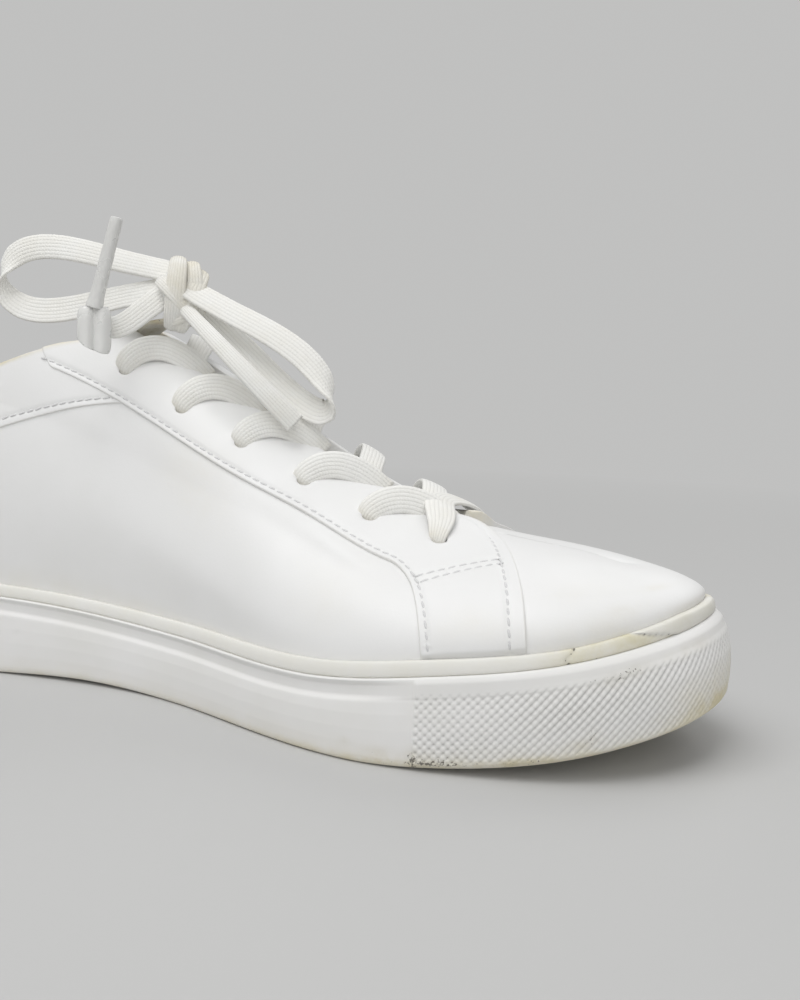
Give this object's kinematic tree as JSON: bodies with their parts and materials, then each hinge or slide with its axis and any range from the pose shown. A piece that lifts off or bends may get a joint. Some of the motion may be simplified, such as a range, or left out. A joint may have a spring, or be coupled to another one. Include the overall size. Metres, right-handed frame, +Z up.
{
  "type": "low court sneaker",
  "caption": "White low-cut court sneaker, left foot: hollow leather upper with padded collar, tied flat lace and a one-piece cup sole with a textured toe.",
  "frame": {"origin": "on the floor under the middle of the sole's length and width, at the lowest face of the sole", "axes": "+X from heel to toe, +Y to the outer (lateral) side of this left shoe, +Z up"},
  "size_m": [0.2846, 0.0987, 0.1265],
  "materials": {
    "cup_sole": "matt moulded rubber, yellowed at its edges",
    "foxing_strip": "matt rubber tape, yellowed",
    "insole": "matt textile on foam",
    "upper": "white coated leather, soft satin, scuffed",
    "tongue": "white padded leather",
    "lace_bar": "woven flat cotton lace, off-white",
    "lace_cross_2": "woven flat cotton lace, off-white",
    "lace_cross_3": "woven flat cotton lace, off-white",
    "lace_cross_4": "woven flat cotton lace, off-white",
    "lace_cross_5": "woven flat cotton lace, off-white",
    "lace_cross_6": "woven flat cotton lace, off-white",
    "lace_risers": "woven flat cotton lace, off-white",
    "lace_knot": "woven flat cotton lace, off-white",
    "lace_loop_rear": "woven flat cotton lace, off-white",
    "lace_loop_front": "woven flat cotton lace, off-white",
    "lace_end_rear": "woven flat cotton lace, off-white",
    "lace_end_front": "woven flat cotton lace, off-white",
    "aglet_rear": "clear film over white lace"
  },
  "bodies": {
    "root": {"cup_sole": "cup_sole", "foxing_strip": "foxing_strip", "insole": "insole", "upper": "upper", "tongue": "tongue", "lace_bar": "lace_bar", "lace_cross_2": "lace_cross_2", "lace_cross_3": "lace_cross_3", "lace_cross_4": "lace_cross_4", "lace_cross_5": "lace_cross_5", "lace_cross_6": "lace_cross_6", "lace_risers": "lace_risers", "lace_knot": "lace_knot", "lace_loop_rear": "lace_loop_rear", "lace_loop_front": "lace_loop_front", "lace_end_rear": "lace_end_rear", "lace_end_front": "lace_end_front", "aglet_rear": "aglet_rear"}
  },
  "joints": []
}
